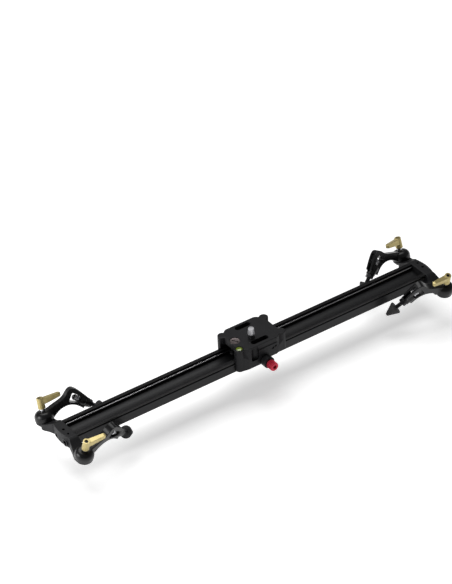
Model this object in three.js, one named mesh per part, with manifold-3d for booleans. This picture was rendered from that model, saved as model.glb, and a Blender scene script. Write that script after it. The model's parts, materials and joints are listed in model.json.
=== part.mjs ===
// Camera slider, 80 cm: a channelled aluminium rail with a rolling carriage, two cast end
// brackets and four folding legs. Millimetres, +X along the rail, +Y to the back, +Z up.
// The origin is on the rail's underside, at the middle of its length and width.
import * as THREE from 'three';
import { mergeVertices } from 'three/addons/utils/BufferGeometryUtils.js';
import Module from 'manifold-3d';

const wasm = await Module();
wasm.setup();

// ---------------------------------------------------------------- driving dimensions

const GAP = 0.3;

const RAIL = {
  length: 755,
  width: 48.5,
  height: 22.6,
  lip: 7.25,
  floorEdge: 11,
  floorMiddle: 8.5,
  edge: 0.6,
  groove: { low: 16.6, high: 19.8, depth: 2 },
};
const ROD = { radius: 1.5, y: 16.5, z: 16.5, length: 753 };

const BRACKET = {
  inner: RAIL.length / 2 + GAP,
  apex: 398,
  arcRadius: 90,
  arcHalfWidth: 25,
  armOuter: 396.5,
};
const SOCKETS = [
  { y: -1, radius: 2.6 },
  { y: 14, radius: 2.1 },
];
const SOCKET_X = 389;
const SOCKET_DEPTH = 12;
const END_SCREWS = [
  { y: -14, z: 4.6, head: 3.6, shank: 2.2 },
  { y: 15, z: 7.4, head: 4.4, shank: 2.6 },
];
const END_RING = { radius: 7.2, proud: 1.4 };

const HUB = { x: 389.5, y: 64, z: 9, tilt: THREE.MathUtils.degToRad(17), radius: 17, seam: -4, top: 12.6 };
const BOSS = { topRadius: 16.4, bottomRadius: 12, top: HUB.seam - GAP, bottom: -13 };
const FOLD_ANGLE = THREE.MathUtils.degToRad(9);

const STUD = { radius: 4, collarRadius: 4.7, collarTop: 17.6, spigotRadius: 3, spigotTop: 23, bottom: -12.5 };
const LEVER = { bottom: 17.9, top: 38, baseRadius: 6.8, topRadius: 6, reach: 37, rise: 8, thickness: 7 };
const LEVER_TURN = { rear: THREE.MathUtils.degToRad(20), front: THREE.MathUtils.degToRad(-5) };

const ARM_WIDTH = 14;
const SPINDLE = {
  originAlong: 57,
  originUp: 20,
  angle: THREE.MathUtils.degToRad(49),
  radius: 4,
  start: 2,
  end: 62,
};
const WINDOW = {
  corners: [[-6.7, -5.2], [10.8, -3.2], [5.9, 14.8], [-6.2, 16.5]],
  cornerRadius: 3,
};
const RIB_SLOT = { half: 3, start: -3, end: 31 };
const SOCKET_BLOCK = { start: 14.5, step: 25, end: 34, radius: 9.6, endRadius: 8.4 };
const THUMB_NUT = { start: 4, end: 13, radius: 5.4 };
const LOCK_NUT = { start: 34.3, end: 40.3, cornerRadius: 7.5 };
const FOOT = { start: 53, rim: 2.2, tip: 76, radius: 11.6, tipRadius: 3.6, boreEnd: 63 };

const CARRIAGE = {
  x: 6,
  top: 47.3,
  bottom: 3,
  earX: 45,
  earY: 26,
  earRadius: 8.5,
  side: 37,
  sideHalf: 31,
  waist: 45,
  skirtTop: 30,
  tunnelTop: 34.5,
  tunnelHalf: 21.5,
  clearance: 1,
};
const ROLLER = { x: 34, y: 10, radius: 6.4, groove: 4.8, height: 7, z: ROD.z, axle: 2, axleHead: 3.6 };
const CAMERA_SCREW = {
  x: -7.4,
  y: -10.7,
  thread: 4.6,
  head: 6.4,
  headTop: 5.3,
  neckTop: 55.1,
  top: 67.6,
  flutes: 4,
  fluteWidth: 1.6,
  fluteFloor: 3.6,
};
const STORE_DISC = { x: -36, y: -0.8, radius: 9.4, depth: 3, slotTurn: THREE.MathUtils.degToRad(-63) };
const LEVEL = { x: -43.5, y: -24.5, ring: 7, vial: 5.4, depth: 6 };
const SLOTS = [
  { x: -0.2, y: 26.2, half: 11, width: 10.5 },
  { x: 0.6, y: -25, half: 12.9, width: 10.5 },
];
const SCALLOP = { x: -18.5, y: -38.5, radius: 7.5, bottom: 17, top: 43.5 };
const LOCK = {
  x: 2,
  z: 10.5,
  blockLeft: -11.5,
  blockRight: 29,
  blockTop: 36.5,
  blockBottom: 11.7,
  lobe: 9,
  face: -38.2,
  back: -34.2,
};
const LOCK_COLLAR = { radius: 11, start: -38.5, end: -51.6 };
const LOCK_KNOB = { radius: 8.4, start: -52.3, end: -66.8, flutes: 18, fluteDepth: 0.8 };
const LOCK_SCREW = { radius: 3, end: -62, tip: -27.2 };
const LOCK_PAD = { radius: 4, face: -RAIL.width / 2 - 0.35, back: -26.9 };
const BLOCK_SCREWS = [
  { x: 19.3, z: 28.4 },
  { x: 24.9, z: 30.6 },
];

// ---------------------------------------------------------------- materials

const MATERIALS = {
  anodised: new THREE.MeshStandardMaterial({ color: 0x242427, roughness: 0.5, metalness: 0.6 }),
  cast: new THREE.MeshStandardMaterial({ color: 0x2c2c30, roughness: 0.55, metalness: 0.4 }),
  steel: new THREE.MeshStandardMaterial({ color: 0xc9c9cc, roughness: 0.25, metalness: 1 }),
  darkSteel: new THREE.MeshStandardMaterial({ color: 0x3a3a3d, roughness: 0.4, metalness: 0.9 }),
  gold: new THREE.MeshStandardMaterial({ color: 0xc2b787, roughness: 0.45, metalness: 0.6 }),
  red: new THREE.MeshStandardMaterial({ color: 0xb4253f, roughness: 0.35, metalness: 0.7 }),
  rubber: new THREE.MeshStandardMaterial({ color: 0x1d1d1e, roughness: 0.9, metalness: 0 }),
  nylon: new THREE.MeshStandardMaterial({ color: 0xe8e6de, roughness: 0.6, metalness: 0 }),
  vial: new THREE.MeshStandardMaterial({ color: 0xaac832, roughness: 0.1, metalness: 0 }),
};

// ---------------------------------------------------------------- solid helpers

function toSolid(geometry) {
  const bare = geometry.clone();
  bare.deleteAttribute('normal');
  bare.deleteAttribute('uv');
  const merged = mergeVertices(bare, 1e-4);
  return new wasm.Manifold(new wasm.Mesh({
    numProp: 3,
    vertProperties: new Float32Array(merged.attributes.position.array),
    triVerts: new Uint32Array(merged.index.array),
  }));
}

function toGeometry(solid) {
  const mesh = solid.getMesh();
  const geometry = new THREE.BufferGeometry();
  geometry.setAttribute('position', new THREE.BufferAttribute(new Float32Array(mesh.vertProperties), 3));
  geometry.setIndex(new THREE.BufferAttribute(new Uint32Array(mesh.triVerts), 1));
  geometry.computeVertexNormals();
  return geometry;
}

function join(geometries) {
  return toGeometry(geometries.map(toSolid).reduce((whole, piece) => whole.add(piece)));
}

function cut(geometry, tools) {
  return toGeometry(tools.map(toSolid).reduce((whole, tool) => whole.subtract(tool), toSolid(geometry)));
}

function overlap(first, second) {
  return toGeometry(toSolid(first).intersect(toSolid(second)));
}

// A box between two opposite corners.
function box(low, high) {
  const size = high.map((value, axis) => value - low[axis]);
  const centre = high.map((value, axis) => (value + low[axis]) / 2);
  return new THREE.BoxGeometry(...size).translate(...centre);
}

// A solid of revolution about +Z from [radius, z] points. It starts and ends on the axis.
function turned(points, segments = 16) {
  const profile = points.map(([radius, z]) => new THREE.Vector2(radius, z));
  return new THREE.LatheGeometry(profile, segments).rotateX(Math.PI / 2);
}

function cylinder(radius, from, to, segments = 12) {
  return turned([[0, from], [radius, from], [radius, to], [0, to]], segments);
}

function prism(shape, from, to, curveSegments = 4) {
  const settings = { depth: to - from, bevelEnabled: false, curveSegments };
  return new THREE.ExtrudeGeometry(shape, settings).translate(0, 0, from);
}

// Turns a solid made about +Z so that it lies along +X or along -Y.
function alongX(geometry) {
  return geometry.rotateY(Math.PI / 2);
}

function alongMinusY(geometry) {
  return geometry.rotateX(Math.PI / 2);
}

function polygon(points) {
  return new THREE.Shape(points.map(([x, y]) => new THREE.Vector2(x, y)));
}

function slotShape(x, y, half, width) {
  const shape = new THREE.Shape();
  const radius = width / 2;
  shape.absarc(x + half, y, radius, -Math.PI / 2, Math.PI / 2);
  shape.absarc(x - half, y, radius, Math.PI / 2, 3 * Math.PI / 2);
  return shape;
}

// A polygon whose corners are rounded off, starting `radius` before and ending `radius` after each.
function roundedPolygon(points, radius) {
  const corners = points.map(([x, y]) => new THREE.Vector2(x, y));
  const towards = (corner, other) => other.clone().sub(corner).setLength(radius).add(corner);
  const shape = new THREE.Shape();
  corners.forEach((corner, index) => {
    const from = towards(corner, corners.at(index - 1));
    const to = towards(corner, corners[(index + 1) % corners.length]);
    if (index === 0) {
      shape.moveTo(from.x, from.y);
    } else {
      shape.lineTo(from.x, from.y);
    }
    shape.quadraticCurveTo(corner.x, corner.y, to.x, to.y);
  });
  return shape;
}

const slider = new THREE.Group();

function addPart(parent, name, geometry, material) {
  const mesh = new THREE.Mesh(geometry, MATERIALS[material]);
  mesh.name = name;
  parent.add(mesh);
  return mesh;
}

// A shape drawn as (y, z) and run along X.
function profileAlongX(shape, from, to) {
  const axes = new THREE.Matrix4().makeBasis(
    new THREE.Vector3(0, 1, 0),
    new THREE.Vector3(0, 0, 1),
    new THREE.Vector3(1, 0, 0),
  );
  return prism(shape, from, to).applyMatrix4(axes);
}

// A shape drawn as (x, z) and run across Y, half of it on each side of the XZ plane.
function profileAcross(shape, halfWidth) {
  return prism(shape, -halfWidth, halfWidth, 2).rotateX(Math.PI / 2);
}

function hexagon(cornerRadius) {
  const corners = Array.from({ length: 6 }, (_, index) => {
    const angle = (index * Math.PI) / 3;
    return [cornerRadius * Math.cos(angle), cornerRadius * Math.sin(angle)];
  });
  return polygon(corners);
}

// A round outline with shallow grip flutes.
function flutedOutline(radius, flutes, depth) {
  const steps = flutes * 2;
  const points = Array.from({ length: steps }, (_, index) => {
    const angle = (index * 2 * Math.PI) / steps;
    const reach = radius - (depth / 2) * (1 - Math.cos(flutes * angle));
    return [reach * Math.cos(angle), reach * Math.sin(angle)];
  });
  return polygon(points);
}

// A socket-head screw about +Z: the shank runs from `tip` to `seat`, the head from there to `top`.
function socketScrew(shank, head, tip, seat, top) {
  const profile = [[0, tip], [shank, tip], [shank, seat], [head, seat], [head, top], [0, top]];
  const body = turned(profile, 12);
  const socket = prism(hexagon(head * 0.55), (seat + top) / 2, top + 1);
  return cut(body, [socket]);
}

// ---------------------------------------------------------------- rail

function railProfile() {
  const half = RAIL.width / 2;
  const inner = half - RAIL.lip;
  const top = RAIL.height;
  const { low, high, depth } = RAIL.groove;
  const seatRadius = ROD.radius + GAP;
  const seatAngle = Math.acos((inner - ROD.y) / seatRadius);
  const floorRise = RAIL.floorEdge - RAIL.floorMiddle;
  const floorRadius = (inner * inner + floorRise * floorRise) / (2 * floorRise);
  const outside = [
    [half - RAIL.edge, 0],
    [half, RAIL.edge],
    [half, low],
    [half - depth, low + 0.7],
    [half - depth, high - 0.7],
    [half, high],
    [half, top - RAIL.edge],
    [half - RAIL.edge, top],
  ];
  const grooves = [2, 4.6].flatMap((offset) => [
    [half - offset, top],
    [half - offset, top - 0.6],
    [half - offset - 1, top - 0.6],
    [half - offset - 1, top],
  ]);
  const seat = Array.from({ length: 7 }, (_, index) => {
    const angle = seatAngle - (index * seatAngle) / 3;
    return [ROD.y + seatRadius * Math.cos(angle), ROD.z + seatRadius * Math.sin(angle)];
  });
  const floor = Array.from({ length: 6 }, (_, index) => {
    const y = inner * (1 - index / 6);
    return [y, RAIL.floorMiddle + floorRadius - Math.sqrt(floorRadius * floorRadius - y * y)];
  });
  const back = [...outside, ...grooves, [inner, top - 0.2], ...seat, ...floor];
  const front = back.map(([y, z]) => [-y, z]).reverse();
  return polygon([...back, [0, RAIL.floorMiddle], ...front]);
}

function endScrewBores(clearance, from, to) {
  return END_SCREWS.map((screw) => (
    alongX(cylinder(screw.shank + clearance, from, to)).translate(0, screw.y, screw.z)
  ));
}

function buildRail() {
  const half = RAIL.length / 2;
  const bar = profileAlongX(railProfile(), -half, half);
  const rightBores = endScrewBores(GAP, half - 13, half + 1);
  const leftBores = endScrewBores(GAP, half - 13, half + 1).map((bore) => bore.rotateZ(Math.PI));
  addPart(slider, 'rail', cut(bar, [...rightBores, ...leftBores]), 'anodised');
  const rod = alongX(cylinder(ROD.radius, -ROD.length / 2, ROD.length / 2));
  addPart(slider, 'guide_rod_rear', rod, 'steel').position.set(0, ROD.y, ROD.z);
  addPart(slider, 'guide_rod_front', rod, 'steel').position.set(0, -ROD.y, ROD.z);
}

// ---------------------------------------------------------------- end brackets

// Moves a solid made about a leg's hinge axis to the right-hand end, rear (1) or front (-1).
function atHub(geometry, side) {
  return geometry.rotateX(-side * HUB.tilt).translate(HUB.x, side * HUB.y, HUB.z);
}

function bracketBlock() {
  const centre = BRACKET.apex - BRACKET.arcRadius;
  const spread = Math.asin(BRACKET.arcHalfWidth / BRACKET.arcRadius);
  const plan = new THREE.Shape();
  plan.moveTo(BRACKET.inner, BRACKET.arcHalfWidth);
  plan.lineTo(BRACKET.inner, -BRACKET.arcHalfWidth);
  plan.absarc(centre, 0, BRACKET.arcRadius, -spread, spread);
  return prism(plan, 0, RAIL.height, 6);
}

function bracketArm(side) {
  const start = BRACKET.arcHalfWidth - 3;
  const profile = [
    [start, 0],
    [start, RAIL.height],
    [BRACKET.arcHalfWidth + 2, RAIL.height - 0.6],
    [36, 15.5],
    [46, 9.4],
    [62, 4.5],
    [57, -5.5],
    [46, -4.5],
    [34, -1],
  ];
  const plan = [
    [BRACKET.inner, start],
    [BRACKET.armOuter - 2, start],
    [BRACKET.armOuter + 2.5, 40],
    [BRACKET.armOuter + 7.5, 56],
    [HUB.x, 60],
    [HUB.x - 14.5, 56],
    [BRACKET.inner - 1, 44],
    [BRACKET.inner, 34],
  ];
  const rear = overlap(
    profileAlongX(polygon(profile), BRACKET.inner - 30, BRACKET.apex + 30),
    prism(polygon(plan), -30, 30),
  );
  return side > 0 ? rear : mirrored(rear);
}

// The mirror image of a solid in the XZ plane, with its faces turned to point out again.
function mirrored(geometry) {
  const copy = geometry.clone().scale(1, -1, 1);
  const index = copy.index.array;
  for (let first = 0; first < index.length; first += 3) {
    [index[first], index[first + 1]] = [index[first + 1], index[first]];
  }
  return copy;
}

function boss() {
  const { topRadius, bottomRadius, top, bottom } = BOSS;
  return turned([
    [0, bottom],
    [bottomRadius, bottom],
    [topRadius, bottom + 5.5],
    [topRadius, top],
    [0, top],
  ], 18);
}

function bracketGeometry() {
  const sides = [1, -1];
  const ringScrew = END_SCREWS[1];
  const ring = alongX(cylinder(END_RING.radius, BRACKET.inner + 4, BRACKET.apex - 1.3 + END_RING.proud, 16));
  const solid = join([
    bracketBlock(),
    ring.translate(0, ringScrew.y, ringScrew.z),
    ...sides.map((side) => bracketArm(side)),
    ...sides.map((side) => atHub(boss(), side)),
  ]);
  const studBores = sides.map((side) => atHub(cylinder(STUD.radius + GAP, -40, 20), side));
  const hubRooms = sides.map((side) => atHub(cylinder(HUB.radius + 0.6, BOSS.top, 60, 18), side));
  const sockets = SOCKETS.map((socket) => (
    cylinder(socket.radius, RAIL.height - SOCKET_DEPTH, RAIL.height + 1).translate(SOCKET_X, socket.y, 0)
  ));
  const counterbores = END_SCREWS.map((screw) => (
    alongX(cylinder(screw.head + GAP, BRACKET.apex - 10, BRACKET.apex + 5)).translate(0, screw.y, screw.z)
  ));
  const screwBores = endScrewBores(GAP, BRACKET.inner - 1, BRACKET.apex);
  return cut(solid, [...studBores, ...hubRooms, ...sockets, ...counterbores, ...screwBores]);
}

function buildBracket(name, turn) {
  const group = new THREE.Group();
  group.rotation.z = turn;
  slider.add(group);
  addPart(group, `${name}_end_bracket`, bracketGeometry(), 'cast');
  END_SCREWS.forEach((screw, index) => {
    const seat = BRACKET.apex - 10 + GAP;
    const geometry = alongX(socketScrew(screw.shank, screw.head, RAIL.length / 2 - 12, seat, seat + 4.2));
    const mesh = addPart(group, `${name}_bracket_screw_${index + 1}`, geometry, 'darkSteel');
    mesh.position.set(0, screw.y, screw.z);
  });
}

// ---------------------------------------------------------------- legs
// Each leg is drawn in its own frame: +X along the folded arm, +Z up the hinge axis.

function legFrame(end, side, outwardTurn) {
  const hinge = new THREE.Vector3(0, side * Math.sin(HUB.tilt), Math.cos(HUB.tilt));
  const inboard = new THREE.Vector3(-end, 0, 0);
  const outward = new THREE.Vector3(0, side * Math.cos(HUB.tilt), -Math.sin(HUB.tilt));
  const along = inboard.multiplyScalar(Math.cos(outwardTurn));
  along.addScaledVector(outward, Math.sin(outwardTurn));
  const across = hinge.clone().cross(along);
  const group = new THREE.Group();
  group.quaternion.setFromRotationMatrix(new THREE.Matrix4().makeBasis(along, across, hinge));
  group.position.set(end * HUB.x, side * HUB.y, HUB.z);
  slider.add(group);
  return group;
}

// Moves a solid made about +Z onto the foot spindle, which points down and inboard.
function onSpindle(geometry) {
  return geometry.rotateY(Math.PI - SPINDLE.angle).translate(SPINDLE.originAlong, 0, SPINDLE.originUp);
}

function legOutline() {
  const shape = new THREE.Shape();
  shape.moveTo(6, HUB.seam);
  shape.lineTo(15, HUB.seam);
  shape.splineThru([
    new THREE.Vector2(21, 0.5),
    new THREE.Vector2(29, 5.6),
    new THREE.Vector2(39, 8.2),
    new THREE.Vector2(49, 7.9),
    new THREE.Vector2(58, 4.4),
    new THREE.Vector2(65, -1),
    new THREE.Vector2(71, -7),
  ]);
  shape.lineTo(84, 8.6);
  shape.splineThru([
    new THREE.Vector2(78.5, 16.5),
    new THREE.Vector2(70.5, 27),
    new THREE.Vector2(63, 34.4),
    new THREE.Vector2(56, 35.8),
    new THREE.Vector2(49.5, 32),
    new THREE.Vector2(43, 25.6),
    new THREE.Vector2(35, 21.2),
    new THREE.Vector2(22, 17.2),
    new THREE.Vector2(6, 12),
  ]);
  return shape;
}

function hubDome() {
  const crown = Array.from({ length: 5 }, (_, index) => {
    const angle = (index * Math.PI) / 10;
    return [7.5 + (HUB.radius - 7.5) * Math.cos(angle), 2 + (HUB.top - 2) * Math.sin(angle)];
  });
  return turned([
    [0, HUB.seam],
    [HUB.radius - 0.5, HUB.seam],
    [HUB.radius, HUB.seam + 0.5],
    ...crown,
    [7.5, HUB.top],
    [0, HUB.top],
  ], 18);
}

function legArmGeometry() {
  const { start, step, end, radius, endRadius } = SOCKET_BLOCK;
  const block = turned([
    [0, start],
    [radius - 1.5, start],
    [radius, start + 4],
    [radius, step],
    [endRadius, step + 1],
    [endRadius, end],
    [0, end],
  ]);
  const solid = join([profileAcross(legOutline(), ARM_WIDTH / 2), hubDome(), onSpindle(block)]);
  const window = onSpindle(profileAcross(roundedPolygon(WINDOW.corners, WINDOW.cornerRadius), ARM_WIDTH));
  const ribSlot = onSpindle(box([-26, -RIB_SLOT.half, RIB_SLOT.start], [0, RIB_SLOT.half, RIB_SLOT.end]));
  const spindleBore = onSpindle(cylinder(SPINDLE.radius + GAP, 0, end + 5));
  const hubBore = cylinder(STUD.radius + GAP, HUB.seam - 5, HUB.top + 5);
  return cut(solid, [window, ribSlot, spindleBore, hubBore]);
}

function studGeometry() {
  const { radius, collarRadius, collarTop, spigotRadius, spigotTop, bottom } = STUD;
  return turned([
    [0, bottom],
    [radius, bottom],
    [radius, HUB.top + GAP],
    [collarRadius, HUB.top + GAP],
    [collarRadius, collarTop],
    [spigotRadius, collarTop],
    [spigotRadius, spigotTop],
    [0, spigotTop],
  ]);
}

function leverGeometry() {
  const { bottom, top, baseRadius, topRadius, reach, rise, thickness } = LEVER;
  const hub = turned([
    [0, bottom],
    [baseRadius - 0.6, bottom],
    [baseRadius, bottom + 0.8],
    [topRadius, top - 0.8],
    [topRadius - 0.8, top],
    [0, top],
  ]);
  const plan = new THREE.Shape();
  const tipRadius = thickness / 2;
  plan.moveTo(0, topRadius - 0.9);
  plan.lineTo(0, 0.9 - topRadius);
  plan.absarc(reach - tipRadius, 0, tipRadius, -Math.PI / 2, Math.PI / 2);
  const side = [
    [0, top - 13],
    [12, top - 11.5],
    [reach, top - rise + 2],
    [reach + 1, top - 0.5],
    [reach - 4, top + 1],
    [0, top - 2],
  ];
  const handle = overlap(prism(plan, bottom, top + 9), profileAcross(polygon(side), 2 * thickness));
  const spigotBore = cylinder(STUD.spigotRadius + GAP, bottom - 1, STUD.spigotTop + GAP);
  const recess = cylinder(3.2, top - 3.5, top + 3);
  return cut(join([hub, handle]), [spigotBore, recess]);
}

function nutGeometry(outline, from, to) {
  return cut(prism(outline, from, to), [cylinder(SPINDLE.radius + GAP, from - 1, to + 1)]);
}

function footGeometry() {
  const { start, rim, tip, radius, tipRadius, boreEnd } = FOOT;
  const nose = Array.from({ length: 4 }, (_, index) => {
    const angle = 0.45 + (index * (Math.PI / 2 - 0.45)) / 3;
    return [tipRadius * Math.cos(angle), tip - tipRadius + tipRadius * Math.sin(angle)];
  });
  nose[nose.length - 1][0] = 0;
  return turned([
    [0, boreEnd],
    [SPINDLE.radius + GAP, boreEnd],
    [SPINDLE.radius + GAP, start],
    [radius - 0.6, start],
    [radius, start + 0.6],
    [radius, start + rim],
    ...nose,
  ], 18);
}

function buildLeg(name, end, side) {
  const leg = legFrame(end, side, -FOLD_ANGLE);
  addPart(leg, `${name}_leg_arm`, legArmGeometry(), 'cast');
  const spindle = new THREE.Group();
  spindle.position.set(SPINDLE.originAlong, 0, SPINDLE.originUp);
  spindle.rotation.y = Math.PI - SPINDLE.angle;
  leg.add(spindle);
  const thumbOutline = flutedOutline(THUMB_NUT.radius, 16, 0.7);
  addPart(spindle, `${name}_thumb_nut`, nutGeometry(thumbOutline, THUMB_NUT.start, THUMB_NUT.end), 'steel');
  const lockOutline = hexagon(LOCK_NUT.cornerRadius);
  addPart(spindle, `${name}_lock_nut`, nutGeometry(lockOutline, LOCK_NUT.start, LOCK_NUT.end), 'darkSteel');
  addPart(spindle, `${name}_foot_rod`, cylinder(SPINDLE.radius, SPINDLE.start, SPINDLE.end), 'darkSteel');
  addPart(spindle, `${name}_rubber_foot`, footGeometry(), 'rubber');
  const lever = legFrame(end, side, side > 0 ? -LEVER_TURN.rear : -LEVER_TURN.front);
  addPart(lever, `${name}_clamp_stud`, studGeometry(), 'steel');
  addPart(lever, `${name}_clamp_lever`, leverGeometry(), 'gold');
}

// ---------------------------------------------------------------- carriage
// Drawn about its own middle, with heights measured from the rail's underside.

function carriageBlank() {
  const { top, bottom, earX, earY, earRadius, side, sideHalf, waist, skirtTop } = CARRIAGE;
  const earSide = earY + earRadius;
  const bulge = [
    [sideHalf, side],
    [-sideHalf, side],
    [-sideHalf - 7, earSide - 2],
    [-sideHalf - 7, 2 - earSide],
    [-sideHalf, -side],
    [sideHalf, -side],
    [sideHalf + 7, 2 - earSide],
    [sideHalf + 7, earSide - 2],
  ];
  const ears = [[1, 1], [-1, 1], [-1, -1], [1, -1]].map(([end, flank]) => (
    cylinder(earRadius, bottom, top, 20).translate(end * earX, flank * earY, 0)
  ));
  const skirt = [
    [sideHalf, side],
    [-sideHalf, side],
    [-earX, earSide],
    [-earX, -earSide],
    [-sideHalf, -side],
    [sideHalf, -side],
    [earX, -earSide],
    [earX, earSide],
  ];
  const plate = box([-waist, -earY - 4, bottom], [waist, earY + 4, top]);
  return join([plate, prism(polygon(bulge), bottom, top), prism(polygon(skirt), bottom, skirtTop), ...ears]);
}

function carriageTunnels() {
  const { clearance, tunnelTop, tunnelHalf, earX, earRadius } = CARRIAGE;
  const end = earX + earRadius + 5;
  const railHalf = RAIL.width / 2 + clearance;
  return [
    box([-end, -railHalf, -5], [end, railHalf, RAIL.height + clearance]),
    box([-end, -tunnelHalf, 0], [end, tunnelHalf, tunnelTop]),
  ];
}

function plateCuts() {
  const { top, tunnelTop } = CARRIAGE;
  const slots = SLOTS.map((slot) => (
    prism(slotShape(slot.x, slot.y, slot.half, slot.width), tunnelTop + 3, top + 1)
  ));
  const countersink = turned([[0, top - 1.5], [5, top - 1.5], [7, top + 1], [0, top + 1]], 20);
  const screwHole = cylinder(CAMERA_SCREW.thread + GAP, tunnelTop - 1, top);
  const discPocket = cylinder(STORE_DISC.radius + GAP, top - STORE_DISC.depth, top + 1, 24);
  const levelPocket = cylinder(LEVEL.ring + GAP, top - LEVEL.depth, top + 1, 24);
  return [
    ...slots,
    countersink.translate(CAMERA_SCREW.x, CAMERA_SCREW.y, 0),
    screwHole.translate(CAMERA_SCREW.x, CAMERA_SCREW.y, 0),
    discPocket.translate(STORE_DISC.x, STORE_DISC.y, 0),
    levelPocket.translate(LEVEL.x, LEVEL.y, 0),
  ];
}

const rollerPlaces = [[1, 1], [-1, 1], [-1, -1], [1, -1]].map(([end, flank]) => (
  [end * ROLLER.x, flank * ROLLER.y]
));

function carriageBody() {
  const { tunnelTop, earX, earRadius, clearance } = CARRIAGE;
  const axleHoles = rollerPlaces.map(([x, y]) => (
    cylinder(ROLLER.axle + GAP, tunnelTop - 1, tunnelTop + 6).translate(x, y, 0)
  ));
  const scallop = cylinder(SCALLOP.radius, SCALLOP.bottom, SCALLOP.top, 20);
  scallop.translate(SCALLOP.x, SCALLOP.y, 0);
  const blockSeat = lockPlate(GAP, -LOCK.back + GAP, CARRIAGE.side + 5);
  const undercut = box(
    [LOCK.x + LOCK_COLLAR.radius - 2, -CARRIAGE.side - 5, -5],
    [earX + earRadius + 5, -RAIL.width / 2 - clearance, LOCK.blockBottom],
  );
  const screwBore = alongMinusY(cylinder(LOCK_SCREW.radius + GAP, 20, 50)).translate(LOCK.x, 0, LOCK.z);
  const padBore = alongMinusY(cylinder(LOCK_PAD.radius + GAP, 20, 29.5)).translate(LOCK.x, 0, LOCK.z);
  const threads = BLOCK_SCREWS.map((screw) => (
    alongMinusY(cylinder(1.2 + GAP, 29.6, 50)).translate(screw.x, 0, screw.z)
  ));
  return cut(carriageBlank(), [
    ...carriageTunnels(),
    ...plateCuts(),
    ...axleHoles,
    scallop,
    ...blockSeat,
    undercut,
    screwBore,
    padBore,
    ...threads,
  ]);
}

// The lock block's plate and the round lobe below it, between two distances in front of the rail's middle.
function lockPlate(margin, from, to) {
  const { x, z, blockLeft, blockRight, blockTop, blockBottom, lobe } = LOCK;
  return [
    box([blockLeft - margin, -to, blockBottom - margin], [blockRight + margin, -from, blockTop + margin]),
    alongMinusY(cylinder(lobe + margin, from, to, 20)).translate(x, 0, z),
  ];
}

function buildLock(carriage) {
  const plate = join(lockPlate(0, -LOCK.back + 2 * GAP, -LOCK.face));
  const bore = alongMinusY(cylinder(LOCK_SCREW.radius + GAP, 20, 60)).translate(LOCK.x, 0, LOCK.z);
  const screwRooms = BLOCK_SCREWS.flatMap((screw) => [
    alongMinusY(cylinder(1.2 + GAP, 20, 60)).translate(screw.x, 0, screw.z),
    alongMinusY(cylinder(2 + GAP, -LOCK.face - 1.6, 60)).translate(screw.x, 0, screw.z),
  ]);
  addPart(carriage, 'lock_block', cut(plate, [bore, ...screwRooms]), 'cast');
  BLOCK_SCREWS.forEach((screw, index) => {
    const seat = -LOCK.face - 1.6 + GAP;
    const geometry = alongMinusY(socketScrew(1.2, 2, 30, seat, seat + 1.2));
    const mesh = addPart(carriage, `lock_block_screw_${index + 1}`, geometry, 'darkSteel');
    mesh.position.set(screw.x, 0, screw.z);
  });
  const lock = new THREE.Group();
  lock.position.set(LOCK.x, 0, LOCK.z);
  carriage.add(lock);
  const collarBlank = cylinder(LOCK_COLLAR.radius, -LOCK_COLLAR.start, -LOCK_COLLAR.end, 24);
  const collarBore = cylinder(LOCK_SCREW.radius + GAP, 30, 60);
  addPart(lock, 'lock_collar', alongMinusY(cut(collarBlank, [collarBore])), 'cast');
  const outline = flutedOutline(LOCK_KNOB.radius, LOCK_KNOB.flutes, LOCK_KNOB.fluteDepth);
  const knobBlank = prism(outline, -LOCK_KNOB.start, -LOCK_KNOB.end);
  const knobBore = cylinder(LOCK_SCREW.radius + GAP, 40, GAP - LOCK_SCREW.end);
  const knobSocket = prism(hexagon(2.9), -LOCK_KNOB.end - 2.4, 70);
  addPart(lock, 'lock_knob', alongMinusY(cut(knobBlank, [knobBore, knobSocket])), 'red');
  const screw = cylinder(LOCK_SCREW.radius, -LOCK_SCREW.tip, -LOCK_SCREW.end);
  addPart(lock, 'lock_screw', alongMinusY(screw), 'steel');
  const pad = cylinder(LOCK_PAD.radius, -LOCK_PAD.face, -LOCK_PAD.back);
  addPart(lock, 'lock_pad', alongMinusY(pad), 'nylon');
}

function buildRollers(carriage) {
  const { radius, groove, height, z, axle, axleHead } = ROLLER;
  const half = height / 2;
  const roller = turned([
    [axle + GAP, z - half],
    [radius, z - half],
    [radius, z - 2],
    [groove, z - 0.6],
    [groove, z + 0.6],
    [radius, z + 2],
    [radius, z + half],
    [axle + GAP, z + half],
    [axle + GAP, z - half],
  ]);
  const shoulder = 3.4;
  const bolt = turned([
    [0, z - half - 2.4],
    [axleHead, z - half - 2.4],
    [axleHead, z - half - GAP],
    [axle, z - half - GAP],
    [axle, z + half + GAP],
    [shoulder, z + half + GAP],
    [shoulder, CARRIAGE.tunnelTop - GAP],
    [axle, CARRIAGE.tunnelTop - GAP],
    [axle, CARRIAGE.tunnelTop + 5],
    [0, CARRIAGE.tunnelTop + 5],
  ], 12);
  rollerPlaces.forEach(([x, y], index) => {
    addPart(carriage, `roller_${index + 1}`, roller, 'darkSteel').position.set(x, y, 0);
    addPart(carriage, `roller_axle_${index + 1}`, bolt, 'darkSteel').position.set(x, y, 0);
  });
}

function cameraScrewGeometry() {
  const { thread, head, headTop, neckTop, top, flutes, fluteWidth, fluteFloor } = CAMERA_SCREW;
  const under = CARRIAGE.tunnelTop;
  const body = turned([
    [0, under - 6],
    [9, under - 6],
    [9, under - GAP],
    [thread, under - GAP],
    [thread, neckTop],
    [head, neckTop + 0.8],
    [head, neckTop + 2.5],
    [headTop, top - 0.8],
    [headTop - 0.8, top],
    [0, top],
  ]);
  const grips = Array.from({ length: flutes }, (_, index) => (
    box([fluteFloor, -fluteWidth / 2, neckTop + 0.4], [head + 2, fluteWidth / 2, top - 1.6])
      .rotateZ((index * 2 * Math.PI) / flutes)
  ));
  return cut(body, grips);
}

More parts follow.
